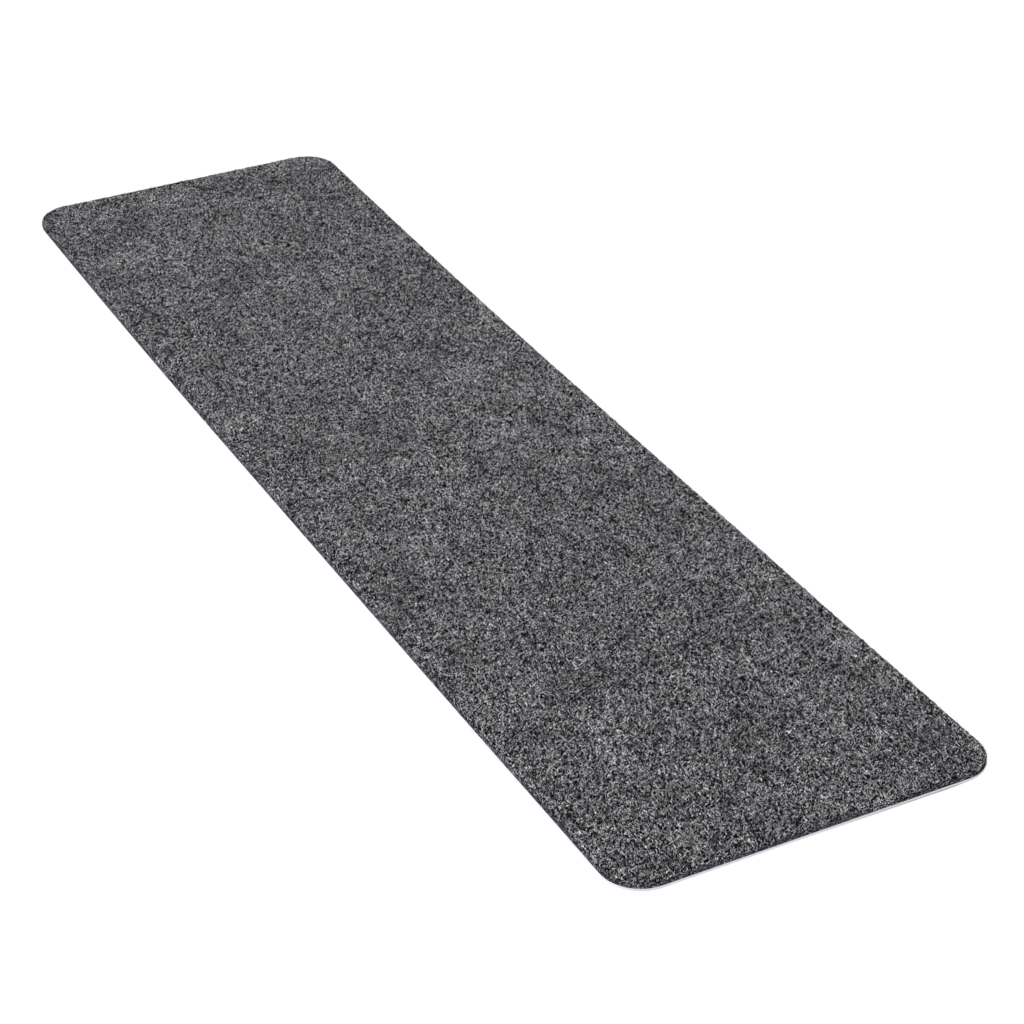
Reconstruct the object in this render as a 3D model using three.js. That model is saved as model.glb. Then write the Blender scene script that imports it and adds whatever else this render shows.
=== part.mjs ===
// A felt mat for one stair tread, in millimetres. +X runs along the mat towards the end nearer the viewer,
// +Y runs across it and +Z is up. The origin is on the floor, under the middle of the mat.
import * as THREE from "three";

// Cut outline
const MAT_LENGTH = 750;
const MAT_WIDTH = 200;
const CORNER_RADIUS = 20;

// Layers, from the floor up
const FILM_THICKNESS = 0.3;
const BACKING_THICKNESS = 0.9;
const FELT_THICKNESS = 3.8;
const FELT_EDGE_RADIUS = 1.6;

// Lie of the mat: each end curls up a little from the flat middle
const FAR_END_LIFT = 5.8;
const FAR_CURL_LENGTH = 320;
const NEAR_END_LIFT = 1.5;
const NEAR_CURL_LENGTH = 200;

// Fineness of the faces
const CORNER_STEPS = 14;
const EDGE_STEPS = 5;
const SIDE_STEP_LENGTH = 20;

const QUARTER_TURN = Math.PI / 2;

// Finishes
const feltFinish = new THREE.MeshStandardMaterial({ color: 0x5d5c5f, roughness: 1, metalness: 0 });
const backingFinish = new THREE.MeshStandardMaterial({ color: 0xe9e9ee, roughness: 0.7, metalness: 0 });
const filmFinish = new THREE.MeshStandardMaterial({ color: 0xd3d4dc, roughness: 0.35, metalness: 0 });

// How far the mat stands off the floor at a place along its length
function lift(x) {
  const farShare = Math.max(0, 1 - (MAT_LENGTH / 2 + x) / FAR_CURL_LENGTH);
  const nearShare = Math.max(0, 1 - (MAT_LENGTH / 2 - x) / NEAR_CURL_LENGTH);
  return FAR_END_LIFT * farShare ** 2 + NEAR_END_LIFT * nearShare ** 2;
}

// Places along a long side, evenly spaced between its corners, from the near end to the far end
function placesOnSide() {
  const reach = MAT_LENGTH / 2 - CORNER_RADIUS;
  const count = Math.ceil((2 * reach) / SIDE_STEP_LENGTH);
  return Array.from({ length: count - 1 }, (_, i) => reach * (1 - (2 * (i + 1)) / count));
}

// One rounded corner, seen from above
function cornerArc(centreX, centreY, radius, startAngle) {
  const arc = new THREE.EllipseCurve(centreX, centreY, radius, radius, startAngle, startAngle + QUARTER_TURN);
  return arc.getPoints(CORNER_STEPS);
}

// The outline on the +Y side of the mat, from the near end to the far end, drawn in by an inset
function halfOutline(inset) {
  const centreX = MAT_LENGTH / 2 - CORNER_RADIUS;
  const centreY = MAT_WIDTH / 2 - CORNER_RADIUS;
  const radius = CORNER_RADIUS - inset;
  const nearCorner = cornerArc(centreX, centreY, radius, 0);
  const side = placesOnSide().map((x) => new THREE.Vector2(x, MAT_WIDTH / 2 - inset));
  const farCorner = cornerArc(-centreX, centreY, radius, QUARTER_TURN);
  return [...nearCorner, ...side, ...farCorner];
}

// A closed layer of the mat. Its wall climbs through rings, and each ring is the outline at an inset and a
// height above the floor of the flat middle.
function layerGeometry(rings) {
  const positions = [];
  for (const { inset, height } of rings) {
    const half = halfOutline(inset);
    const mirrored = half.map(({ x, y }) => new THREE.Vector2(x, -y)).reverse();
    for (const { x, y } of [...half, ...mirrored]) {
      positions.push(x, y, height + lift(x));
    }
  }

  const ringSize = positions.length / 3 / rings.length;
  const indices = [];
  for (let ring = 0; ring < rings.length - 1; ring++) {
    for (let i = 0; i < ringSize; i++) {
      const here = ring * ringSize + i;
      const next = ring * ringSize + ((i + 1) % ringSize);
      indices.push(here, next, next + ringSize);
      indices.push(here, next + ringSize, here + ringSize);
    }
  }

  // The top and the bottom are strips across the mat, each between two places along it
  const top = (rings.length - 1) * ringSize;
  for (let i = 0; i < ringSize / 2 - 1; i++) {
    const opposite = ringSize - 1 - i;
    indices.push(top + i, top + i + 1, top + opposite - 1);
    indices.push(top + i, top + opposite - 1, top + opposite);
    indices.push(i, opposite - 1, i + 1);
    indices.push(i, opposite, opposite - 1);
  }

  const geometry = new THREE.BufferGeometry();
  geometry.setAttribute("position", new THREE.Float32BufferAttribute(positions, 3));
  geometry.setIndex(indices);
  geometry.computeVertexNormals();
  return geometry;
}

// A layer with a square edge
function sheet(name, bottom, thickness, finish) {
  const rings = [
    { inset: 0, height: bottom },
    { inset: 0, height: bottom + thickness },
  ];
  return named(name, layerGeometry(rings), finish);
}

// The needle felt, cut square at its foot and rounded over at its top edge
function feltFace(bottom) {
  const roundStart = bottom + FELT_THICKNESS - FELT_EDGE_RADIUS;
  const rings = [{ inset: 0, height: bottom }];
  for (let step = 0; step <= EDGE_STEPS; step++) {
    const angle = (QUARTER_TURN * step) / EDGE_STEPS;
    rings.push({
      inset: FELT_EDGE_RADIUS * (1 - Math.cos(angle)),
      height: roundStart + FELT_EDGE_RADIUS * Math.sin(angle),
    });
  }
  return named("felt_face", layerGeometry(rings), feltFinish);
}

function named(name, geometry, finish) {
  const mesh = new THREE.Mesh(geometry, finish);
  mesh.name = name;
  return mesh;
}

const mat = new THREE.Group();
mat.add(
  sheet("release_film", 0, FILM_THICKNESS, filmFinish),
  sheet("grip_backing", FILM_THICKNESS, BACKING_THICKNESS, backingFinish),
  feltFace(FILM_THICKNESS + BACKING_THICKNESS),
);

export default mat;
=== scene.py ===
import functools
import math

import bmesh
import bpy
import numpy as np
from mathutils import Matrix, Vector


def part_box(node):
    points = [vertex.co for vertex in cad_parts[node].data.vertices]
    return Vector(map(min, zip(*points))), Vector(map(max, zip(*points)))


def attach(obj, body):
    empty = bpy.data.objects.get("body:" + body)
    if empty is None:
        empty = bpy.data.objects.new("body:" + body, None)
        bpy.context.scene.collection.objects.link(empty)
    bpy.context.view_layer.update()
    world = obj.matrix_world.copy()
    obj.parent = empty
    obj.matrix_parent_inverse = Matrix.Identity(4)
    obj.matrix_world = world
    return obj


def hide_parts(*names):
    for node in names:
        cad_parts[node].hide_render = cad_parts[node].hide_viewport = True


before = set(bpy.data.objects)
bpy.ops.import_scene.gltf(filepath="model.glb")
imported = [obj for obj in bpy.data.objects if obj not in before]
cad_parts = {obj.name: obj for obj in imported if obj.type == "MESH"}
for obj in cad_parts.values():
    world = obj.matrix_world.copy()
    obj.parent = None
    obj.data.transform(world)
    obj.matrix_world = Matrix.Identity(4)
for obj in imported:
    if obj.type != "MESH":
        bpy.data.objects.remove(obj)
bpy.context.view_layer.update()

bl_info = {
    "name": "Felt stair mat",
    "version": (1, 0, 0),
    "blender": (4, 5, 0),
    "location": "View3D > Sidebar > Stair mat",
    "description": "Builds a needle felt mat for a stair tread, with its grip layer and release film",
    "category": "Object",
}

MM = 0.001

# Two places closer together than this are one
SAME_PLACE = 1e-6

# Columns of a grid to each corner of the mat
CORNER_STEPS = 24


# What the CAD parts give

def node_places(node):
    """The places of a CAD node's corners, as rows of x, y and z."""
    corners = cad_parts[node].data.vertices
    places = np.empty(len(corners) * 3)
    corners.foreach_get("co", places)
    return places.reshape(-1, 3)


def read_lie():
    """Places along the mat, and how far its floor side stands off the floor at each."""
    film = node_places("release_film")
    along = np.unique(film[:, 0].round(6))
    lifts = [film[abs(film[:, 0] - x) < 2 * SAME_PLACE, 2].min() for x in along]
    return along, np.array(lifts)


LIE = read_lie()


def lift(x):
    """How far the curling ends raise the mat at a place along it."""
    return np.interp(x, *LIE)


def node_levels(node):
    """The lowest and highest level of a layer, counted from the mat's floor side."""
    places = node_places(node)
    heights = places[:, 2] - lift(places[:, 0])
    return heights.min(), heights.max()


FILM_FOOT, _ = node_levels("release_film")
_, BACKING_TOP = node_levels("grip_backing")
FELT_FOOT, FELT_TOP = node_levels("felt_face")

HALF_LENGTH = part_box("felt_face")[1].x
HALF_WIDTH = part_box("felt_face")[1].y


def read_radii():
    """The radius of the cut corners, and that of the felt's rounded top edge."""
    film, felt = node_places("release_film"), node_places("felt_face")
    at_end = film[:, 0] > HALF_LENGTH - SAME_PLACE
    on_top = felt[:, 2] - lift(felt[:, 0]) > FELT_TOP - SAME_PLACE
    return HALF_WIDTH - film[at_end, 1].max(), HALF_WIDTH - felt[on_top, 1].max()


CORNER_RADIUS, EDGE_RADIUS = read_radii()
CORE_X = HALF_LENGTH - CORNER_RADIUS
CORE_Y = HALF_WIDTH - CORNER_RADIUS


def shade(red, green, blue):
    """A linear colour from display values of 0 to 255."""
    linear = []
    for value in (red, green, blue):
        part = value / 255
        linear.append(part / 12.92 if part <= 0.04045 else ((part + 0.055) / 1.055) ** 2.4)
    return tuple(linear)


# Settings

def size_setting(name, description, default):
    return bpy.props.FloatProperty(
        name=name, description=description, default=default, min=0, precision=5,
        subtype="DISTANCE", unit="LENGTH"
    )


def colour_setting(name, description, default):
    return bpy.props.FloatVectorProperty(
        name=name, description=description, default=default, size=3, min=0, max=1, subtype="COLOR"
    )


def share_setting(name, description, default):
    return bpy.props.FloatProperty(
        name=name, description=description, default=default, min=0, max=1, subtype="FACTOR"
    )


class FeltSettings(bpy.types.PropertyGroup):
    """The body of the needle felt."""

    cell: size_setting("Cell", "Spacing of the corners of the felt's mesh", 1.34 * MM)
    lump_size: size_setting("Lump size", "Distance from one lump of the nap to the next", 4.2 * MM)
    lump_depth: size_setting("Lump depth", "Height of the lumps above the hollows", 1.0 * MM)
    tuft_size: size_setting("Tuft size", "Distance between the small tufts on the lumps", 1.9 * MM)
    tuft_depth: size_setting("Tuft depth", "Height of the small tufts", 0.5 * MM)
    ground: colour_setting("Ground", "Colour deep between the fibres", shade(10, 10, 11))
    strand: colour_setting("Strand", "Colour of the strands lying in the ground", shade(126, 125, 127))
    pale_strand: colour_setting("Pale strand", "Colour of the ground's pale strands", shade(248, 247, 250))


class FibreSettings(bpy.types.PropertyGroup):
    """The loose fibres of the nap."""

    length: size_setting("Length", "Mean length of a long fibre", 3.8 * MM)
    short_length: size_setting("Short length", "Mean length of a short fibre", 2.8 * MM)
    thickness: size_setting("Thickness", "Mean thickness of a strand of fibre", 0.25 * MM)
    rise: size_setting("Rise", "How far the middle of a fibre stands off the felt", 0.4 * MM)
    lean: share_setting("Lean", "How far the fibres lean out of the felt, from 0, flat, to 1", 0.7)
    fringe: size_setting("Fringe", "How far most fibres may stand out past the cut edge", 0.15 * MM)
    seed: bpy.props.IntProperty(name="Seed", description="Start of the random numbers", default=7, min=0)


class BackingSettings(bpy.types.PropertyGroup):
    """The grip layer and the film under it."""

    grip_colour: colour_setting("Grip layer", "Colour of the grip layer", shade(250, 250, 255))
    film_colour: colour_setting("Film", "Colour of the release film", shade(250, 249, 255))
    film_thickness: size_setting("Film thickness", "Thickness of the release film", 0.16 * MM)
    parting: size_setting("Parting", "How far the film hangs off the grip layer at a corner", 0.6 * MM)
    parting_length: size_setting("Parting length", "How far from the end the film starts to part", 120 * MM)


class LieSettings(bpy.types.PropertyGroup):
    """How the two corners of the near end lie."""

    droop: size_setting("Droop", "How much lower the near corner on the +Y side lies", 0.3 * MM)
    twist: size_setting("Twist", "How much lower the near corner on the -Y side lies", 0.5 * MM)
    squareness: size_setting("Squareness", "How much less the corner on the +Y side is rounded", 2.2 * MM)


class StageSettings(bpy.types.PropertyGroup):
    """The camera and the light."""

    camera_place: bpy.props.FloatVectorProperty(
        name="Camera", description="Where the camera stands", default=(1.1650, -0.5703, 0.7636),
        size=3, subtype="TRANSLATION", unit="LENGTH"
    )
    camera_heading: bpy.props.FloatProperty(
        name="Heading", description="Direction of view, turned from +X", default=math.radians(152.183),
        subtype="ANGLE", unit="ROTATION"
    )
    camera_pitch: bpy.props.FloatProperty(
        name="Pitch", description="How far the view looks up", default=math.radians(-31.666),
        subtype="ANGLE", unit="ROTATION"
    )
    camera_lens: bpy.props.FloatProperty(
        name="Lens", description="Focal length", default=96.89, min=1, unit="CAMERA"
    )
    lamp_power: bpy.props.FloatProperty(
        name="Lamp power", description="Power of the soft lamp over the mat", default=108,
        min=0, unit="POWER"
    )
    sky: share_setting("Sky", "Strength of the even light from all round", 0.25)


# Meshes

def smooth(share):
    """Eases from 0 to 1 as a share goes from 0 to 1."""
    share = np.clip(share, 0, 1)
    return share * share * (3 - 2 * share)


def only(piece):
    """Makes a piece the only selected and the active one."""
    bpy.ops.object.select_all(action="DESELECT")
    piece.select_set(True)
    bpy.context.view_layer.objects.active = piece


def from_core(x, y):
    """The core of the outline is its four corners' centres and what lies between them. This gives the place
    on it nearest to x and y, and the way from there to x and y."""
    core_x, core_y = np.clip(x, -CORE_X, CORE_X), np.clip(y, -CORE_Y, CORE_Y)
    return core_x, core_y, x - core_x, y - core_y


def past_core(x, y):
    """How far a place lies out from the core of the outline. At the cut edge it is the corner radius."""
    _, _, out_x, out_y = from_core(x, y)
    return np.hypot(out_x, out_y)


def half_width_at(x, inset):
    """Half the width of the outline at a place along the mat, drawn in by an inset."""
    beyond = np.clip(abs(x) - CORE_X, 0, None)
    return CORE_Y + np.sqrt(np.clip((CORNER_RADIUS - inset) ** 2 - beyond ** 2, 0, None))


def column_places(cell, inset):
    """Places along the mat for the columns of a grid, closer where the corners turn."""
    radius = CORNER_RADIUS - inset
    turn = np.linspace(0, math.pi / 2, 1 + CORNER_STEPS)[1:]
    end = CORE_X + radius * np.sin(turn)
    middle = np.linspace(-CORE_X, CORE_X, 1 + round(2 * CORE_X / cell))
    return np.concatenate([-end[::-1], middle, end])


def add_sheet(name, cell, inset, level):
    """A grid in the shape of the outline, drawn in by an inset, at a level of the mat."""
    columns = column_places(cell, inset)
    rows = np.linspace(-1, 1, 1 + round(2 * HALF_WIDTH / cell))
    bpy.ops.object.select_all(action="DESELECT")
    bpy.ops.mesh.primitive_grid_add(x_subdivisions=len(columns) - 1, y_subdivisions=len(rows) - 1, size=2)
    piece = bpy.context.object
    piece.name = piece.data.name = name
    places = get_places(piece)
    column = np.rint((places[:, 0] + 1) / 2 * (len(columns) - 1)).astype(int)
    row = np.rint((places[:, 1] + 1) / 2 * (len(rows) - 1)).astype(int)
    x = columns[column]
    y = rows[row] * half_width_at(x, inset)
    set_places(piece, np.column_stack([x, y, level + lift(x)]))
    return piece


def get_places(piece):
    """The places of a piece's corners, as rows of x, y and z."""
    places = np.empty(len(piece.data.vertices) * 3)
    piece.data.vertices.foreach_get("co", places)
    return places.reshape(-1, 3)


def set_places(piece, places):
    """Moves a piece's corners to new places."""
    piece.data.vertices.foreach_set("co", places.ravel())
    piece.data.update()


def select_open_rim():
    """Selects the edges of the edited mesh that have a face on one side only."""
    bpy.ops.mesh.select_mode(type="EDGE")
    bpy.ops.mesh.select_all(action="DESELECT")
    bpy.ops.mesh.select_non_manifold(
        extend=False, use_wire=False, use_boundary=True, use_multi_face=False,
        use_non_contiguous=False, use_verts=False
    )


def add_rim(piece, inset, level):
    """Extrudes the selected open rim once, onto the outline at an inset and a level."""
    bpy.ops.mesh.extrude_edges_move()
    form = bmesh.from_edit_mesh(piece.data)
    for corner in form.verts:
        if corner.select:
            core_x, core_y, out_x, out_y = from_core(corner.co.x, corner.co.y)
            reach = (CORNER_RADIUS - inset) / math.hypot(out_x, out_y)
            corner.co.x = core_x + out_x * reach
            corner.co.y = core_y + out_y * reach
            corner.co.z = level + float(lift(corner.co.x))
    bmesh.update_edit_mesh(piece.data)


def close_foot(piece):
    """Closes the open rim at the foot: strips across the mat first, and then the two ends."""
    select_open_rim()
    form = bmesh.from_edit_mesh(piece.data)
    for edge in form.edges:
        if edge.select and min(abs(end.co.y) for end in edge.verts) < CORE_Y + SAME_PLACE:
            edge.select_set(False)
    bmesh.update_edit_mesh(piece.data)
    bpy.ops.mesh.bridge_edge_loops()
    select_open_rim()
    bpy.ops.mesh.fill_holes(sides=0)
    bpy.ops.mesh.select_all(action="SELECT")
    bpy.ops.mesh.normals_make_consistent(inside=False)


def displace(piece, name, size, depth, group, detail):
    """Raises the surface in soft lumps of a size, and applies it."""
    texture = bpy.data.textures.new(name, "CLOUDS")
    texture.noise_scale = size
    texture.noise_depth = detail
    lumps = piece.modifiers.new(name, "DISPLACE")
    lumps.texture = texture
    lumps.texture_coords = "LOCAL"
    lumps.strength = depth
    lumps.mid_level = 0.5
    lumps.vertex_group = group
    bpy.ops.object.modifier_apply(modifier=name)


def finish_piece(piece, material):
    """Gives a piece its material and its body."""
    piece.data.materials.clear()
    piece.data.materials.append(material)
    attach(piece, "root")


# Materials

def new_group(name, inputs, outputs):
    """An empty shader node group with named sockets. inputs gives (name, socket type, default)."""
    tree = bpy.data.node_groups.new(name, "ShaderNodeTree")
    for label, kind, default in inputs:
        socket = tree.interface.new_socket(name=label, in_out="INPUT", socket_type=kind)
        if default is not None:
            socket.default_value = default
    for label, kind in outputs:
        tree.interface.new_socket(name=label, in_out="OUTPUT", socket_type=kind)
    return tree, tree.nodes.new("NodeGroupInput"), tree.nodes.new("NodeGroupOutput")


def node(tree, kind, values=None, **settings):
    """A node with its settings and the defaults of its inputs."""
    made = tree.nodes.new(kind)
    for key, value in settings.items():
        setattr(made, key, value)
    for key, value in (values or {}).items():
        made.inputs[key].default_value = value
    return made


@functools.cache
def shared(build):
    """A node group that several materials use, built the first time that it is asked for."""
    return build()


def mottle_group():
    """Soft clouds of shade: a noise of a size, spread by a contrast."""
    tree, given, result = new_group(
        "Mottle",
        [
            ("Vector", "NodeSocketVector", None),
            ("Size", "NodeSocketFloat", 0.03),
            ("Contrast", "NodeSocketFloat", 1.0),
            ("Detail", "NodeSocketFloat", 3.0),
        ],
        [("Factor", "NodeSocketFloat")],
    )
    scale = node(tree, "ShaderNodeMath", {0: 1.0}, operation="DIVIDE")
    clouds = node(tree, "ShaderNodeTexNoise", {"Roughness": 0.6})
    centred = node(tree, "ShaderNodeMath", {1: 0.5}, operation="SUBTRACT")
    spread = node(tree, "ShaderNodeMath", operation="MULTIPLY")
    factor = node(tree, "ShaderNodeMath", {1: 0.5}, operation="ADD", use_clamp=True)
    link = tree.links.new
    link(given.outputs["Size"], scale.inputs[1])
    link(given.outputs["Vector"], clouds.inputs["Vector"])
    link(scale.outputs[0], clouds.inputs["Scale"])
    link(given.outputs["Detail"], clouds.inputs["Detail"])
    link(clouds.outputs[0], centred.inputs[0])
    link(centred.outputs[0], spread.inputs[0])
    link(given.outputs["Contrast"], spread.inputs[1])
    link(spread.outputs[0], factor.inputs[0])
    link(factor.outputs[0], result.inputs["Factor"])
    return tree


def mottle(tree, place, size, contrast=1.0, detail=3.0):
    """Soft clouds of shade at a place, as a factor from 0 to 1."""
    values = {"Size": size, "Contrast": contrast, "Detail": detail}
    clouds = node(tree, "ShaderNodeGroup", values, node_tree=shared(mottle_group))
    tree.links.new(place, clouds.inputs["Vector"])
    return clouds.outputs["Factor"]


# How far above its threshold the noise of a strand is all strand
STRAND_EDGE = 0.06


def strand_group():
    """Strands that run mostly one way: a noise drawn out along that way, over a threshold."""
    tree, given, result = new_group(
        "Strands",
        [
            ("Vector", "NodeSocketVector", None),
            ("Way", "NodeSocketVector", None),
            ("Stretch", "NodeSocketVector", None),
            ("Threshold", "NodeSocketFloat", 0.55),
        ],
        [("Strand", "NodeSocketFloat")],
    )
    turned = node(tree, "ShaderNodeVectorRotate", rotation_type="EULER_XYZ")
    drawn_out = node(tree, "ShaderNodeVectorMath", operation="DIVIDE")
    field = node(tree, "ShaderNodeTexNoise", {"Scale": 1.0, "Detail": 0.0})
    full = node(tree, "ShaderNodeMath", {1: STRAND_EDGE}, operation="ADD")
    line = node(tree, "ShaderNodeMapRange", interpolation_type="SMOOTHSTEP")
    link = tree.links.new
    link(given.outputs["Vector"], turned.inputs["Vector"])
    link(given.outputs["Way"], turned.inputs["Rotation"])
    link(turned.outputs[0], drawn_out.inputs[0])
    link(given.outputs["Stretch"], drawn_out.inputs[1])
    link(drawn_out.outputs[0], field.inputs["Vector"])
    link(field.outputs[0], line.inputs["Value"])
    link(given.outputs["Threshold"], line.inputs["From Min"])
    link(given.outputs["Threshold"], full.inputs[0])
    link(full.outputs[0], line.inputs["From Max"])
    link(line.outputs[0], result.inputs["Strand"])
    return tree


def strands(tree, place, way, length, width, threshold):
    """Strands at a place, as a mask. Their way is in degrees from +X, and a lower threshold gives more."""
    values = {"Way": (0, 0, -math.radians(way)), "Stretch": (length, width, width), "Threshold": threshold}
    lines = node(tree, "ShaderNodeGroup", values, node_tree=shared(strand_group))
    tree.links.new(place, lines.inputs["Vector"])
    return lines.outputs["Strand"]


def warp_group():
    """Bends what follows, so that straight strands curl."""
    tree, given, result = new_group(
        "Warp",
        [
            ("Vector", "NodeSocketVector", None),
            ("Size", "NodeSocketFloat", 0.003),
            ("Reach", "NodeSocketFloat", 0.002),
        ],
        [("Vector", "NodeSocketVector")],
    )
    scale = node(tree, "ShaderNodeMath", {0: 1.0}, operation="DIVIDE")
    field = node(tree, "ShaderNodeTexNoise", {"Detail": 1.0})
    centred = node(tree, "ShaderNodeVectorMath", {1: (0.5, 0.5, 0.5)}, operation="SUBTRACT")
    reach = node(tree, "ShaderNodeVectorMath", operation="SCALE")
    moved = node(tree, "ShaderNodeVectorMath", operation="ADD")
    link = tree.links.new
    link(given.outputs["Size"], scale.inputs[1])
    link(given.outputs["Vector"], field.inputs["Vector"])
    link(scale.outputs[0], field.inputs["Scale"])
    link(field.outputs["Color"], centred.inputs[0])
    link(centred.outputs[0], reach.inputs[0])
    link(given.outputs["Reach"], reach.inputs["Scale"])
    link(given.outputs["Vector"], moved.inputs[0])
    link(reach.outputs[0], moved.inputs[1])
    link(moved.outputs[0], result.inputs["Vector"])
    return tree


def warped(tree, place, size, reach):
    """A place moved by a soft noise of a size, by up to half a reach."""
    warp = node(tree, "ShaderNodeGroup", {"Size": size, "Reach": reach}, node_tree=shared(warp_group))
    tree.links.new(place, warp.inputs["Vector"])
    return warp.outputs["Vector"]


def new_material(name, roughness):
    material = bpy.data.materials.new(name)
    material.use_nodes = True
    shader = material.node_tree.nodes["Principled BSDF"]
    shader.inputs["Roughness"].default_value = roughness
    return material, material.node_tree, shader


def mix_colour(tree, factor, first, second):
    """A colour mix. first and second are colours or sockets that give one."""
    mix = node(tree, "ShaderNodeMix", data_type="RGBA")
    tree.links.new(factor, mix.inputs["Factor"])
    for socket, value in ((mix.inputs[6], first), (mix.inputs[7], second)):
        if isinstance(value, bpy.types.NodeSocket):
            tree.links.new(value, socket)
        else:
            socket.default_value = (*value, 1)
    return mix.outputs[2]


def scaled(tree, colour, share):
    """A colour times the share that a socket gives."""
    product = node(tree, "ShaderNodeVectorMath", operation="SCALE")
    tree.links.new(colour, product.inputs[0])
    tree.links.new(share, product.inputs["Scale"])
    return product.outputs[0]


def tinted(tree, colour, tint):
    """A colour times the tint that a socket gives."""
    product = node(tree, "ShaderNodeVectorMath", operation="MULTIPLY")
    tree.links.new(colour, product.inputs[0])
    tree.links.new(tint, product.inputs[1])
    return product.outputs[0]


def ranged(tree, value, given, wanted, **settings):
    """A socket's value, taken from a given range to a wanted one."""
    values = {"From Min": given[0], "From Max": given[1], "To Min": wanted[0], "To Max": wanted[1]}
    mapped = node(tree, "ShaderNodeMapRange", values, **settings)
    tree.links.new(value, mapped.inputs["Value"])
    return mapped.outputs[0]


def bump(tree, height, strength, distance, under=None):
    """The normal of a surface with the relief that a socket gives, laid over the one under it."""
    relief = node(tree, "ShaderNodeBump", {"Strength": strength, "Distance": distance})
    tree.links.new(height, relief.inputs["Height"])
    if under is not None:
        tree.links.new(under, relief.inputs["Normal"])
    return relief.outputs[0]


def darker(colour, share):
    return tuple(part * share for part in colour)


# Painted shade: the foot of the felt's edge is darker and bluer, up to a level in millimetres that wanders
# in soft pockets
FOOT_SHADE = (0.65, 0.65, 0.73)
FOOT_SHADE_LEVELS = (2.3, 4.0)
FOOT_SHADE_WANDER = 3.0
SHADE_POCKET_SIZE = 7 * MM
SHADE_POCKET_CONTRAST = 2.0

# Clouds of shade in the wool: size, contrast, detail, and how far they darken and brighten it
WOOL_CLOUDS = (
    (30 * MM, 2.2, 3.0, 0.30),
    (8 * MM, 1.8, 1.0, 0.20),
    (1.2 * MM, 2.5, 0.0, 0.34),
    (0.8 * MM, 3.0, 0.0, 0.52),
)

# The tint of the wool drifts between two, in a noise apart from that of the clouds
NEUTRAL = (1.0, 1.0, 0.97)
LILAC = (1.0, 0.99, 1.06)
TINT_SIZE = 22 * MM
TINT_CONTRAST = 2.0
TINT_APART = (0.3, 0.2, 0.1)

WHITE = (1.0, 1.0, 1.0)


def wool_group():
    """What all the felt's fibres share: painted shade that makes the foot of the edge darker and bluer,
    clouds of shade, with salt and pepper where fibres of two shades were mixed, and a tint that drifts from
    neutral to lilac."""
    tree, given, result = new_group(
        "Wool", [("Color", "NodeSocketColor", None)], [("Color", "NodeSocketColor")]
    )
    link = tree.links.new
    place = node(tree, "ShaderNodeTexCoord").outputs["Object"]
    # Painted shade: darker and bluer towards the foot of the felt's wall, in soft pockets
    level = node(tree, "ShaderNodeAttribute", attribute_name="level").outputs["Fac"]
    wander = node(tree, "ShaderNodeMath", {1: FOOT_SHADE_WANDER, 2: -FOOT_SHADE_WANDER / 2}, operation="MULTIPLY_ADD")
    uneven = node(tree, "ShaderNodeMath", operation="ADD")
    link(mottle(tree, place, SHADE_POCKET_SIZE, SHADE_POCKET_CONTRAST), wander.inputs[0])
    link(level, uneven.inputs[0])
    link(wander.outputs[0], uneven.inputs[1])
    clear = ranged(tree, uneven.outputs[0], FOOT_SHADE_LEVELS, (0, 1), interpolation_type="SMOOTHSTEP")
    colour = tinted(tree, given.outputs["Color"], mix_colour(tree, clear, FOOT_SHADE, WHITE))
    for size, contrast, detail, depth in WOOL_CLOUDS:
        clouds = mottle(tree, place, size, contrast, detail)
        colour = scaled(tree, colour, ranged(tree, clouds, (0, 1), (1 - depth, 1 + depth)))
    apart = node(tree, "ShaderNodeVectorMath", {1: TINT_APART}, operation="ADD")
    link(place, apart.inputs[0])
    drift = mottle(tree, apart.outputs[0], TINT_SIZE, TINT_CONTRAST)
    colour = tinted(tree, colour, mix_colour(tree, drift, NEUTRAL, LILAC))
    limited = node(tree, "ShaderNodeVectorMath", {1: WHITE}, operation="MINIMUM")
    link(colour, limited.inputs[0])
    link(limited.outputs[0], result.inputs["Color"])
    return tree


def as_wool(tree, colour, shader):
    """Passes a colour through what all the felt's fibres share."""
    wool = node(tree, "ShaderNodeGroup", node_tree=shared(wool_group))
    tree.links.new(colour, wool.inputs["Color"])
    tree.links.new(wool.outputs["Color"], shader.inputs["Base Color"])


# Strands in the felt's ground, from the lowest layer up: way in degrees from +X, length, width, threshold,
# and the setting that has their colour
GROUND_STRANDS = (
    (4, 4.0 * MM, 0.45 * MM, 0.60, "strand"),
    (-52, 3.6 * MM, 0.42 * MM, 0.60, "strand"),
    (-66, 4.0 * MM, 0.45 * MM, 0.65, "pale_strand"),
    (-8, 4.4 * MM, 0.42 * MM, 0.65, "pale_strand"),
    (-30, 3.6 * MM, 0.44 * MM, 0.56, "ground"),
)
CURL_SIZE = 5.0 * MM
CURL_REACH = 1.8 * MM

# Painted shade in the felt's hollows: it is darker there, from this relief in millimetres to that, from
# this share to that
HOLLOWS = (-0.4, 0.3)
HOLLOW_PAINTED_SHADES = (0.55, 1.0)


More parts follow.
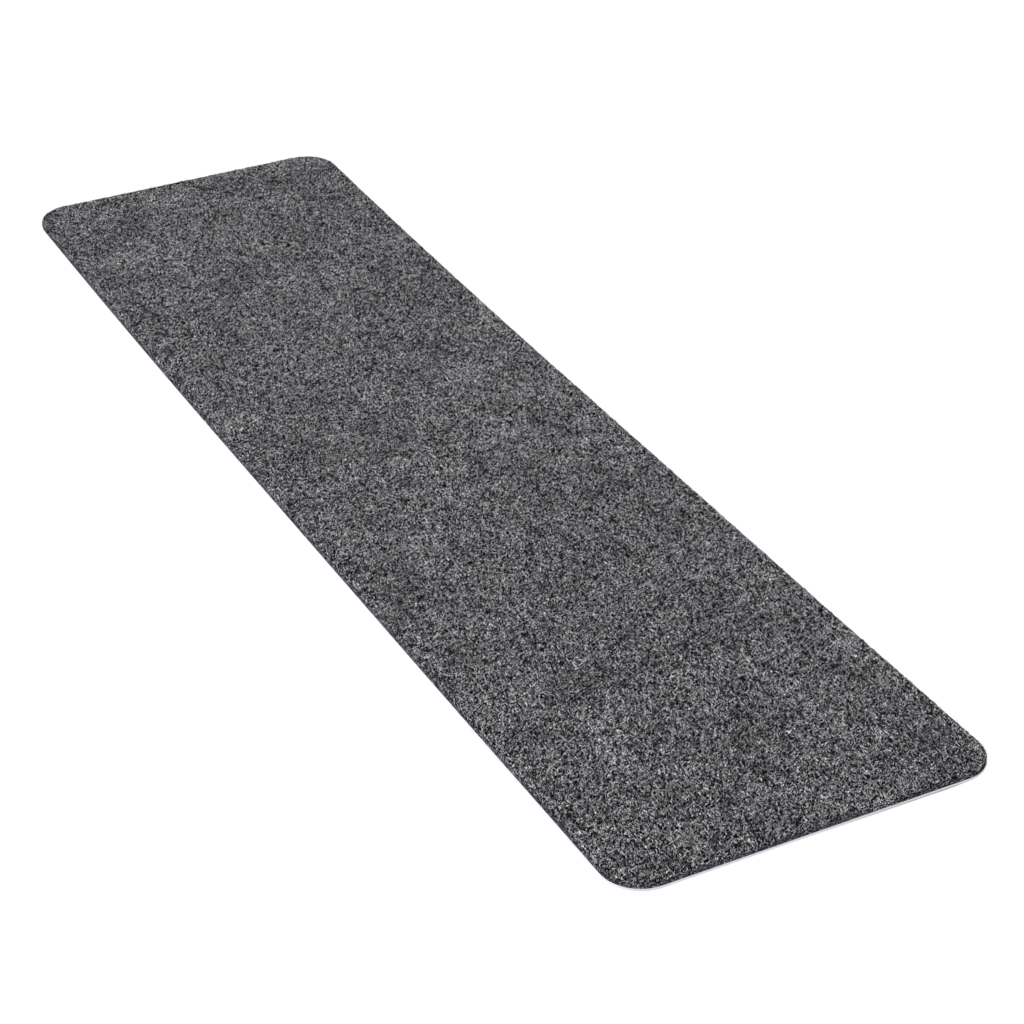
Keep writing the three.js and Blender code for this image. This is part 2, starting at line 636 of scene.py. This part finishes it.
def felt_material(settings):
    """Charcoal needle felt: curled strands of two shades lying over a dark ground, with painted shade in
    its hollows.
    """
    material, tree, shader = new_material("Charcoal felt", 0.95)
    shader.inputs["Specular IOR Level"].default_value = 0.05
    place = node(tree, "ShaderNodeTexCoord").outputs["Object"]
    curled = warped(tree, place, CURL_SIZE, CURL_REACH)
    colour = settings.ground
    masks = []
    for way, length, width, threshold, tone in GROUND_STRANDS:
        masks.append(strands(tree, curled, way, length, width, threshold))
        colour = mix_colour(tree, masks[-1], colour, getattr(settings, tone))
    # Painted shade: the colour is darker where the relief is low
    relief = node(tree, "ShaderNodeAttribute", attribute_name="relief").outputs["Fac"]
    as_wool(tree, scaled(tree, colour, ranged(tree, relief, HOLLOWS, HOLLOW_PAINTED_SHADES)), shader)
    height = node(tree, "ShaderNodeMath", operation="ADD")
    tree.links.new(masks[0], height.inputs[0])
    tree.links.new(masks[2], height.inputs[1])
    tree.links.new(bump(tree, height.outputs[0], strength=0.6, distance=0.3 * MM), shader.inputs["Normal"])
    return material


def fibre_material(name, dark, pale):
    """Loose fibres of the nap, from a dark to a pale shade, each with a shade of its own."""
    material, tree, shader = new_material(name, 0.7)
    shader.inputs["Specular IOR Level"].default_value = 0.15
    tone = node(tree, "ShaderNodeAttribute", attribute_name="tone")
    as_wool(tree, mix_colour(tree, tone.outputs["Fac"], dark, pale), shader)
    return material


def grip_material(settings):
    """The soft pale grip layer."""
    material, tree, shader = new_material("Pale grip layer", 0.6)
    clouds = mottle(tree, node(tree, "ShaderNodeTexCoord").outputs["Object"], 2 * MM)
    colour = mix_colour(tree, clouds, darker(settings.grip_colour, 0.97), settings.grip_colour)
    tree.links.new(colour, shader.inputs["Base Color"])
    tree.links.new(bump(tree, clouds, strength=0.3, distance=0.1 * MM), shader.inputs["Normal"])
    return material


# The film's clinging patches and its creases: how large, how strong, and how bright next to the film
# itself. The creases' darker colour is painted shade of the folds.
PATCH_SIZE = 25 * MM
PATCH_CONTRAST = 1.8
PATCH_SHADE = 0.84
CREASE_LENGTH = 170 * MM
CREASE_WIDTH = 1.5 * MM
CREASE_THRESHOLD = 0.71
CREASE_PAINTED_SHADE = 0.80
BEND_SIZE = 90 * MM
BEND_REACH = 12 * MM


def film_material(settings):
    """The thin release film, satin, greyer in patches where it clings to the grip layer, and with a few
    fine creases along the mat from the roll, darkened with painted shade."""
    material, tree, shader = new_material("Release film", 0.35)
    film = settings.film_colour
    place = node(tree, "ShaderNodeTexCoord").outputs["Object"]
    patches = mottle(tree, place, PATCH_SIZE, PATCH_CONTRAST)
    bent = warped(tree, place, BEND_SIZE, BEND_REACH)
    creases = strands(tree, bent, 0, CREASE_LENGTH, CREASE_WIDTH, CREASE_THRESHOLD)
    colour = mix_colour(tree, patches, darker(film, PATCH_SHADE), film)
    # Painted shade: the creases are darker, as shade in a fold
    colour = mix_colour(tree, creases, colour, darker(film, CREASE_PAINTED_SHADE))
    tree.links.new(colour, shader.inputs["Base Color"])
    waves = bump(tree, patches, strength=0.6, distance=2 * MM)
    folds = bump(tree, creases, strength=0.5, distance=0.3 * MM, under=waves)
    tree.links.new(folds, shader.inputs["Normal"])
    return material


# The felt

# Steps of the felt's mesh round its top edge, and down its wall
EDGE_STEPS = 4
WALL_STEPS = 3

# Near the cut edge, over this width, the nap thins out to this share
EDGE_WIDTH = 4 * MM
EDGE_NAP = 0.3


def add_layer(name, cell, edge_radius, top, foot, edge_steps, wall_steps):
    """A closed layer of the mat with a rounded top edge and a wall cut square at its foot."""
    layer = add_sheet(name, cell, edge_radius, top)
    only(layer)
    bpy.ops.object.mode_set(mode="EDIT")
    select_open_rim()
    for step in range(1, edge_steps + 1):
        angle = math.pi / 2 * step / edge_steps
        add_rim(layer, edge_radius * (1 - math.sin(angle)), top - edge_radius * (1 - math.cos(angle)))
    wall = top - edge_radius - foot
    for step in range(1, wall_steps + 1):
        add_rim(layer, 0, foot + wall * (1 - step / wall_steps))
    close_foot(layer)
    bpy.ops.object.mode_set(mode="OBJECT")
    return layer


def weigh(piece, name, weights):
    """A vertex group with a weight for each corner, to a hundredth."""
    group = piece.vertex_groups.new(name=name)
    steps = weights.round(2)
    for weight in np.unique(steps):
        group.add(np.nonzero(steps == weight)[0].tolist(), float(weight), "REPLACE")


def add_attribute(piece, name, values):
    """Gives each corner of a piece a number that the materials read."""
    piece.data.attributes.new(name, "FLOAT", "POINT").data.foreach_set("value", values.astype(np.float32))


def above_felt_foot(places):
    """How far places lie above the foot of the felt."""
    return places[..., 2] - lift(places[..., 0]) - FELT_FOOT


def build_felt(settings):
    """The felt's body, with lumps and tufts on its top and wall. Its relief is kept for the finish."""
    felt = add_layer("needle_felt", settings.cell, EDGE_RADIUS, FELT_TOP, FELT_FOOT, EDGE_STEPS, WALL_STEPS)
    flat = get_places(felt)
    normals = np.empty(flat.size)
    felt.data.vertices.foreach_get("normal", normals)
    above_foot = above_felt_foot(flat) / (FELT_TOP - FELT_FOOT)
    inside = (CORNER_RADIUS - past_core(flat[:, 0], flat[:, 1])) / EDGE_WIDTH
    weigh(felt, "nap", np.clip(2 * above_foot, 0, 1) * (EDGE_NAP + (1 - EDGE_NAP) * smooth(inside)))
    displace(felt, "Lumps", settings.lump_size, settings.lump_depth, "nap", detail=1)
    displace(felt, "Tufts", settings.tuft_size, settings.tuft_depth, "nap", detail=0)
    relief = ((get_places(felt) - flat) * normals.reshape(-1, 3)).sum(1)
    add_attribute(felt, "relief", relief / MM)
    add_attribute(felt, "level", above_felt_foot(get_places(felt)) / MM)
    bpy.ops.object.shade_smooth()
    return felt


# The fibres

MOST_TRIANGLES = 195_000

# Each piece of fibres: name, rings of a strand between its two points, how much the fibres keep to the
# lumps, and their darkest and palest shade
# The paler pieces keep to the lumps more, so that the hollows look darker: painted shade
FIBRE_PIECES = (
    ("pale_fibres", 2, 1.1, shade(178, 177, 180), shade(236, 235, 239)),
    ("silver_fibres", 2, 0.9, shade(132, 131, 133), shade(230, 229, 232)),
    ("grey_fibres", 1, 0.6, shade(70, 70, 71), shade(228, 227, 230)),
    ("charcoal_fibres", 1, 0.0, shade(6, 6, 7), shade(36, 36, 38)),
)

# Places of a strand's rings and points along it, by its count of rings
STATIONS = {1: np.array([-1 / 2, 0, 1 / 2]), 2: np.array([-1 / 2, -1 / 6, 1 / 6, 1 / 2])}

# The two ways in which the web of fibres was laid, in degrees from +X, and the spread about them
CROSS_LAY = (0, -56)
LAY_SPREAD = 22

# The spread of a strand's turn from end to end, and of its sway, in radians
TURN = 0.9
SWAY = 0.5

# How much the strands of a piece differ, as shares of the setting
LENGTHS = (0.6, 1.4)
RISES = (0.2, 1.6)
RADII = (0.35, 0.65)

# How far the ends of a strand lie below its middle, in shares of its rise
DIP = 1.6

# Near the cut edge, over this width, fibres lean and rise less, by these shares
CALM_WIDTH = 3 * MM
CALM_LEAN = 0.6
CALM_RISE = 0.5

# Chance of a fibre on level felt, and the least and the most that relief makes of it
LEVEL_CHANCE = 0.75
CHANCES = (0.1, 1.6)

# Fibres are rooted and end no lower than this above the foot of the felt
LOWEST_ROOT = 0.4 * MM
LOWEST_END = 0.05 * MM

# A few fibres stand out by up to this many times the fringe
LONGEST_FRINGE = 2.5


def spindle(rings):
    """A strand of unit length and radius along X, three-sided, pointed at both ends. It gives the strand's
    corners and its faces."""
    bpy.ops.object.select_all(action="DESELECT")
    if rings == 2:
        bpy.ops.mesh.primitive_cylinder_add(vertices=3, radius=1, depth=1 / 3, end_fill_type="TRIFAN")
    else:
        bpy.ops.mesh.primitive_cone_add(
            vertices=3, radius1=1, radius2=0, depth=1 / 2, end_fill_type="TRIFAN"
        )
    form = bpy.context.object
    form.rotation_euler = (0, math.pi / 2, 0)
    bpy.ops.object.transform_apply(location=False, rotation=True, scale=False)
    bpy.ops.object.mode_set(mode="EDIT")
    bpy.ops.mesh.select_all(action="SELECT")
    bpy.ops.mesh.quads_convert_to_tris()
    bpy.ops.mesh.normals_make_consistent(inside=False)
    bpy.ops.object.mode_set(mode="OBJECT")
    corners = get_places(form)
    on_axis = np.hypot(corners[:, 1], corners[:, 2]) < 0.1
    corners[on_axis, 0] = np.where(corners[on_axis, 0] > corners[:, 0].mean(), 1, -1) / 2
    if rings == 1:
        corners[~on_axis, 0] = 0
    faces = np.array([face.vertices[:] for face in form.data.polygons])
    bpy.data.objects.remove(form)
    return corners, faces


def unit(vectors):
    """Vectors at a length of 1."""
    return vectors / np.linalg.norm(vectors, axis=-1, keepdims=True)


def felt_faces(felt):
    """Middle, normal and area of the felt's faces, and the relief at each."""
    faces = felt.data.polygons
    middles, normals, areas = np.empty(len(faces) * 3), np.empty(len(faces) * 3), np.empty(len(faces))
    faces.foreach_get("center", middles)
    faces.foreach_get("normal", normals)
    faces.foreach_get("area", areas)
    first = np.empty(len(faces), int)
    faces.foreach_get("loop_start", first)
    corner = np.empty(len(felt.data.loops), int)
    felt.data.loops.foreach_get("vertex_index", corner)
    relief = np.empty(len(felt.data.vertices))
    felt.data.attributes["relief"].data.foreach_get("value", relief)
    return middles.reshape(-1, 3), normals.reshape(-1, 3), areas, relief[corner[first]]


def scatter(felt, count, crest, random):
    """Places and normals on the felt. With crest over 0 there are more on the lumps than in the hollows,
    and under 0 fewer."""
    middles, normals, areas, relief = felt_faces(felt)
    level = middles[:, 2] - lift(middles[:, 0])
    chance = areas * np.clip(LEVEL_CHANCE + crest * relief, *CHANCES)
    underside = normals[:, 2] < -0.5
    chance[(level < FELT_FOOT + LOWEST_ROOT) | underside] = 0
    picked = random.choice(len(areas), size=count, p=chance / chance.sum())
    shake = random.uniform(-0.5, 0.5, (count, 3)) * bpy.context.scene.felt_mat_felt.cell
    shake -= (shake * normals[picked]).sum(1, keepdims=True) * normals[picked]
    return middles[picked] + shake, normals[picked]


def curl(count, length, stations, random):
    """The middle lines of curly strands lying flat, each as its places at the stations from end to end."""
    turn = random.normal(0, TURN, (count, 1))
    sway = random.normal(0, SWAY, (count, 1))
    steps = (stations[1:] + stations[:-1]) / 2
    heading = turn * steps + sway * np.cos(2 * math.pi * steps)
    stride = length[:, None] * np.diff(stations)
    line = np.zeros((count, len(stations), 3))
    line[:, 1:, 0] = np.cumsum(np.cos(heading) * stride, 1)
    line[:, 1:, 1] = np.cumsum(np.sin(heading) * stride, 1)
    line -= line.mean(1, keepdims=True)
    return line


def build_fibres(name, felt, form, rings, length, crest, settings, number):
    """One piece of many strands, each curled its own way and set on the felt."""
    corners, faces = form
    count = MOST_TRIANGLES // len(faces)
    random = np.random.default_rng(settings.seed + number)
    roots, normals = scatter(felt, count, crest, random)
    at_edge = smooth((past_core(roots[:, 0], roots[:, 1]) - CORNER_RADIUS) / CALM_WIDTH + 1)
    lean = settings.lean * (1 - CALM_LEAN * at_edge)
    up = unit(normals + lean[:, None] * random.normal(size=(count, 3)))
    way = np.radians(random.choice(CROSS_LAY, count) + random.normal(0, LAY_SPREAD, count))
    aside = unit(np.cross(up, np.column_stack([np.cos(way), np.sin(way), np.zeros(count)])))
    ahead = np.cross(aside, up)

    stations = STATIONS[rings]
    line = curl(count, length * random.uniform(*LENGTHS, count), stations, random)
    rise = settings.rise * random.uniform(*RISES, count) * (1 - CALM_RISE * at_edge)
    line[:, :, 2] = rise[:, None] * (1 - DIP * (2 * stations) ** 2)

    station = abs(stations[None] - corners[:, :1]).argmin(1)
    along = unit(np.gradient(line, axis=1))
    across = unit(np.cross(np.array([0, 0, 1.0]), along))
    over = np.cross(along, across)
    on_ring = abs(corners[:, :1]) < 1 / 2 - SAME_PLACE
    radius = settings.thickness * random.uniform(*RADII, count)[:, None, None] * on_ring
    off_line = across[:, station] * corners[:, 1:2] + over[:, station] * corners[:, 2:]
    own = line[:, station] + radius * off_line
    axes = ahead[:, None], aside[:, None], up[:, None]
    places = roots[:, None] + own[..., :1] * axes[0] + own[..., 1:2] * axes[1] + own[..., 2:] * axes[2]
    fringe = settings.fringe * random.exponential(1, (count, 1)).clip(0, LONGEST_FRINGE)
    trim(places, CORNER_RADIUS + fringe)

    mesh = bpy.data.meshes.new(name)
    all_faces = (faces[None] + np.arange(count)[:, None, None] * len(corners)).reshape(-1, 3)
    mesh.from_pydata(places.reshape(-1, 3), [], all_faces)
    piece = bpy.data.objects.new(name, mesh)
    bpy.context.scene.collection.objects.link(piece)
    add_attribute(piece, "tone", np.repeat(random.uniform(0, 1, count), len(corners)))
    add_attribute(piece, "level", above_felt_foot(places).ravel() / MM)
    only(piece)
    bpy.ops.object.shade_smooth()
    return piece


def trim(places, reach):
    """Keeps fibres above the foot of the felt, and within a reach around the core of the outline."""
    core_x, core_y, out_x, out_y = from_core(places[..., 0], places[..., 1])
    share = np.minimum(1, reach / np.maximum(np.hypot(out_x, out_y), SAME_PLACE))
    places[..., 0] = core_x + out_x * share
    places[..., 1] = core_y + out_y * share
    places[..., 2] = np.maximum(places[..., 2], FELT_FOOT + lift(places[..., 0]) + LOWEST_END)


# The layers under the felt

GRIP_CELL = 12 * MM
GRIP_EDGE_RADIUS = 0.15 * MM
GRIP_STEPS = 2
FILM_CELL = 8 * MM
FILM_SHARP_EDGE = math.radians(40)

# The film hangs down by no more than this share of the mat's lift
MOST_HANG = 0.6

# What the film does at the near end fades out over this width, which ends this far into the +Y corner
FADE_WIDTH = 18 * MM
FADE_END = 6 * MM

# How far the film stands out past the cut edge, at the near end and on the -Y side
END_REACH = 0.35 * MM
SIDE_REACH = 0.5 * MM

# Along the near end it stands out least on the -Y side, by this share of its reach. From there it rises
# towards the +Y side, and starts to at this share of half the width before the middle.
LEAST_SHARE = 0.3
RISE_START = 0.2

# On the -Y side it does so round one place, out to this far on each side of it, and again from another
# place towards the near corner, where it comes in over one length and goes out over another
MIDDLE_PLACE = -40 * MM
MIDDLE_SPAN = 60 * MM
NEAR_PLACE = 150 * MM
NEAR_RISE = 80 * MM
NEAR_FALL = 20 * MM


def build_grip_layer(settings):
    """The grip layer, down to the film."""
    foot = FILM_FOOT + settings.film_thickness
    return add_layer("grip_layer", GRIP_CELL, GRIP_EDGE_RADIUS, BACKING_TOP, foot, GRIP_STEPS, GRIP_STEPS)


def build_film(settings):
    """The release film. It stands out a little past the cut edge in places, and hangs off at one corner."""
    film = add_sheet("film", FILM_CELL, 0, FILM_FOOT + settings.film_thickness)
    places = get_places(film)
    x, y = places[:, 0], places[:, 1]
    near_end = smooth((x - HALF_LENGTH) / settings.parting_length + 1)
    to_right = smooth(y / (2 * HALF_WIDTH) + 0.5) * before_corner(y)
    places[:, 2] -= np.minimum(settings.parting * near_end * to_right, MOST_HANG * lift(x))
    reach = film_reach(x, y)
    _, _, out_x, out_y = from_core(x, y)
    out = np.column_stack([out_x, out_y])
    distance = np.hypot(out_x, out_y)
    at_rim = distance > CORNER_RADIUS - SAME_PLACE
    places[at_rim, :2] += out[at_rim] / distance[at_rim, None] * reach[at_rim, None]
    set_places(film, places)
    only(film)
    wall = film.modifiers.new("Wall", "SOLIDIFY")
    wall.thickness = settings.film_thickness
    wall.offset = -1
    bpy.ops.object.modifier_apply(modifier=wall.name)
    bpy.ops.object.shade_smooth_by_angle(angle=FILM_SHARP_EDGE)
    return film


def before_corner(y):
    """1 along the near end, and 0 round the corner on the +Y side."""
    return smooth((CORE_Y + FADE_END - y) / FADE_WIDTH)


def film_reach(x, y):
    """How far the film stands out past the cut edge at a place on the rim."""
    to_right = LEAST_SHARE + (1 - LEAST_SHARE) * smooth(RISE_START + y / HALF_WIDTH)
    near_end = smooth((x - CORE_X) / CORNER_RADIUS) * to_right
    middle = smooth(1 - abs(x - MIDDLE_PLACE) / MIDDLE_SPAN) * (y < 0)
    near = smooth((x - NEAR_PLACE) / NEAR_RISE) * smooth((CORE_X - x) / NEAR_FALL) * (y < 0)
    return END_REACH * near_end * before_corner(y) + SIDE_REACH * (middle + near)


# The near corners

# How far from the near end they bend, and how far from the +Y and the -Y side
DROOP_LENGTH = 80 * MM
DROOP_WIDTH = 35 * MM
TWIST_WIDTH = 110 * MM


def settle(places, settings):
    """Lets both near corners droop, and makes the one on the +Y side a little squarer, as it was cut."""
    x, y = places[:, 0], places[:, 1]
    near = smooth((x - HALF_LENGTH) / DROOP_LENGTH + 1)
    droop = settings.droop * smooth((y - HALF_WIDTH) / DROOP_WIDTH + 1)
    twist = settings.twist * smooth((-y - HALF_WIDTH) / TWIST_WIDTH + 1)
    past_x, past_y = np.clip(x - CORE_X, 0, None), np.clip(y - CORE_Y, 0, None)
    squarer = (math.sqrt(2) - 1) * settings.squareness * 2 * past_x * past_y / CORNER_RADIUS ** 2
    outward = squarer / math.sqrt(2)
    return places + np.column_stack([outward, outward, -near * (droop + twist)])


# The stage

FLOOR_SIZE = 30.0
FLOOR_LEVEL = -0.1 * MM
LAMP_PLACE = (0.0, -1.3, 2.8)
LAMP_SIZE = 3.6
SENSOR_WIDTH = 36

# The floor's own shade and glow, which together look white, and the light that it throws on the mat
FLOOR_SHADE = 0.25
FLOOR_GLOW = 0.83
FLOOR_BOUNCE = 1.0


def add_camera(settings):
    """The camera at the photograph's view."""
    bpy.ops.object.camera_add(location=settings.camera_place)
    camera = bpy.context.object
    camera.rotation_euler = (math.pi / 2 + settings.camera_pitch, 0, settings.camera_heading - math.pi / 2)
    camera.data.sensor_width = SENSOR_WIDTH
    camera.data.lens = settings.camera_lens
    bpy.context.scene.camera = camera


def floor_material():
    """White to the camera but for the mat's soft shadow, and clear from below. On the mat it throws plain
    white light, as a white floor does."""
    material, tree, shader = new_material("White floor", 1.0)
    link = tree.links.new
    shader.inputs["Base Color"].default_value = (FLOOR_SHADE, FLOOR_SHADE, FLOOR_SHADE, 1)
    shader.inputs["Specular IOR Level"].default_value = 0
    shader.inputs["Emission Color"].default_value = (1, 1, 1, 1)
    shader.inputs["Emission Strength"].default_value = FLOOR_GLOW
    bounce = node(tree, "ShaderNodeEmission", {"Strength": FLOOR_BOUNCE})
    clear = node(tree, "ShaderNodeBsdfTransparent")
    rays = node(tree, "ShaderNodeLightPath")
    side = node(tree, "ShaderNodeNewGeometry")
    above = node(tree, "ShaderNodeMixShader")
    whole = node(tree, "ShaderNodeMixShader")
    link(rays.outputs["Is Diffuse Ray"], above.inputs["Fac"])
    link(shader.outputs[0], above.inputs[1])
    link(bounce.outputs[0], above.inputs[2])
    link(side.outputs["Backfacing"], whole.inputs["Fac"])
    link(above.outputs[0], whole.inputs[1])
    link(clear.outputs[0], whole.inputs[2])
    link(whole.outputs[0], tree.nodes["Material Output"].inputs["Surface"])
    material.cycles.emission_sampling = "NONE"
    return material


def add_floor():
    """A floor so large that no view reaches past it."""
    bpy.ops.object.select_all(action="DESELECT")
    bpy.ops.mesh.primitive_plane_add(size=FLOOR_SIZE, location=(0, 0, FLOOR_LEVEL))
    floor = bpy.context.object
    floor.name = "floor"
    floor.data.materials.append(floor_material())


def add_lamp(settings):
    """One large soft lamp, turned to the mat."""
    bpy.ops.object.light_add(type="AREA", location=LAMP_PLACE)
    lamp = bpy.context.object
    lamp.data.shape = "SQUARE"
    lamp.data.size = LAMP_SIZE
    lamp.data.energy = settings.lamp_power
    lamp.rotation_euler = (-lamp.location).to_track_quat("-Z", "Y").to_euler()


def light_world(settings):
    """Even light from all round. The camera itself sees it as white."""
    world = bpy.context.scene.world or bpy.data.worlds.new("Studio")
    bpy.context.scene.world = world
    world.use_nodes = True
    tree = world.node_tree
    tree.nodes.clear()
    link = tree.links.new
    rays = node(tree, "ShaderNodeLightPath")
    white = node(tree, "ShaderNodeBackground", {"Color": (1, 1, 1, 1), "Strength": 1.0})
    soft = node(tree, "ShaderNodeBackground", {"Color": (1, 1, 1, 1), "Strength": settings.sky})
    seen = node(tree, "ShaderNodeMath", operation="MAXIMUM")
    mix = node(tree, "ShaderNodeMixShader")
    result = node(tree, "ShaderNodeOutputWorld")
    link(rays.outputs["Is Camera Ray"], seen.inputs[0])
    link(rays.outputs["Is Glossy Ray"], seen.inputs[1])
    link(seen.outputs[0], mix.inputs["Fac"])
    link(soft.outputs[0], mix.inputs[1])
    link(white.outputs[0], mix.inputs[2])
    link(mix.outputs[0], result.inputs["Surface"])


# Operators

class FELTMAT_OT_stage(bpy.types.Operator):
    """Sets the camera, the floor, the lamp and the light all round"""

    bl_idname = "felt_mat.stage"
    bl_label = "Stage"

    def execute(self, context):
        settings = context.scene.felt_mat_stage
        add_camera(settings)
        add_floor()
        add_lamp(settings)
        light_world(settings)
        context.scene.view_settings.view_transform = "Standard"
        return {"FINISHED"}


class FELTMAT_OT_felt(bpy.types.Operator):
    """Builds the body of the needle felt"""

    bl_idname = "felt_mat.felt"
    bl_label = "Felt"

    def execute(self, context):
        settings = context.scene.felt_mat_felt
        felt = build_felt(settings)
        finish_piece(felt, felt_material(settings))
        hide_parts("felt_face")
        return {"FINISHED"}


class FELTMAT_OT_fibres(bpy.types.Operator):
    """Sets the loose fibres of the nap on the felt"""

    bl_idname = "felt_mat.fibres"
    bl_label = "Fibres"

    def execute(self, context):
        felt = bpy.data.objects["needle_felt"]
        settings = context.scene.felt_mat_fibres
        forms = {1: spindle(1), 2: spindle(2)}
        lengths = {1: settings.short_length, 2: settings.length}
        for number, (name, rings, crest, dark, pale) in enumerate(FIBRE_PIECES):
            piece = build_fibres(name, felt, forms[rings], rings, lengths[rings], crest, settings, number)
            material = fibre_material(name.replace("_", " ").capitalize(), dark, pale)
            finish_piece(piece, material)
        return {"FINISHED"}


class FELTMAT_OT_grip_layer(bpy.types.Operator):
    """Builds the pale grip layer under the felt"""

    bl_idname = "felt_mat.grip_layer"
    bl_label = "Grip layer"

    def execute(self, context):
        settings = context.scene.felt_mat_backing
        piece = build_grip_layer(settings)
        finish_piece(piece, grip_material(settings))
        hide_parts("grip_backing")
        return {"FINISHED"}


class FELTMAT_OT_film(bpy.types.Operator):
    """Builds the release film on the floor side"""

    bl_idname = "felt_mat.film"
    bl_label = "Release film"

    def execute(self, context):
        settings = context.scene.felt_mat_backing
        piece = build_film(settings)
        finish_piece(piece, film_material(settings))
        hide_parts("release_film")
        return {"FINISHED"}


class FELTMAT_OT_lie(bpy.types.Operator):
    """Settles the near corners of all the pieces"""

    bl_idname = "felt_mat.lie"
    bl_label = "Lie"

    def execute(self, context):
        for name in ("needle_felt", "grip_layer", "film", *(piece[0] for piece in FIBRE_PIECES)):
            piece = bpy.data.objects[name]
            set_places(piece, settle(get_places(piece), context.scene.felt_mat_lie))
        return {"FINISHED"}


class FELTMAT_PT_mat(bpy.types.Panel):
    """Lists what the mat is made of"""

    bl_idname = "FELTMAT_PT_mat"
    bl_label = "Stair mat"
    bl_space_type = "VIEW_3D"
    bl_region_type = "UI"
    bl_category = "Stair mat"

    def draw(self, context):
        for operator, attribute in STEPS:
            box = self.layout.box()
            box.operator(operator.bl_idname)
            settings = getattr(context.scene, attribute)
            for name in settings.__annotations__:
                box.prop(settings, name)


SETTINGS = (
    ("felt_mat_stage", StageSettings),
    ("felt_mat_felt", FeltSettings),
    ("felt_mat_fibres", FibreSettings),
    ("felt_mat_backing", BackingSettings),
    ("felt_mat_lie", LieSettings),
)
STEPS = (
    (FELTMAT_OT_stage, "felt_mat_stage"),
    (FELTMAT_OT_felt, "felt_mat_felt"),
    (FELTMAT_OT_fibres, "felt_mat_fibres"),
    (FELTMAT_OT_grip_layer, "felt_mat_backing"),
    (FELTMAT_OT_film, "felt_mat_backing"),
    (FELTMAT_OT_lie, "felt_mat_lie"),
)


def register():
    for attribute, kind in SETTINGS:
        bpy.utils.register_class(kind)
        setattr(bpy.types.Scene, attribute, bpy.props.PointerProperty(type=kind))
    for operator, _ in STEPS:
        bpy.utils.register_class(operator)
    bpy.utils.register_class(FELTMAT_PT_mat)


def unregister():
    bpy.utils.unregister_class(FELTMAT_PT_mat)
    for operator, _ in reversed(STEPS):
        bpy.utils.unregister_class(operator)
    for attribute, kind in reversed(SETTINGS):
        delattr(bpy.types.Scene, attribute)
        bpy.utils.unregister_class(kind)


def main():
    register()
    bpy.ops.felt_mat.stage()
    bpy.ops.felt_mat.felt()
    bpy.ops.felt_mat.fibres()
    bpy.ops.felt_mat.grip_layer()
    bpy.ops.felt_mat.film()
    bpy.ops.felt_mat.lie()


if __name__ == "__main__":
    main()
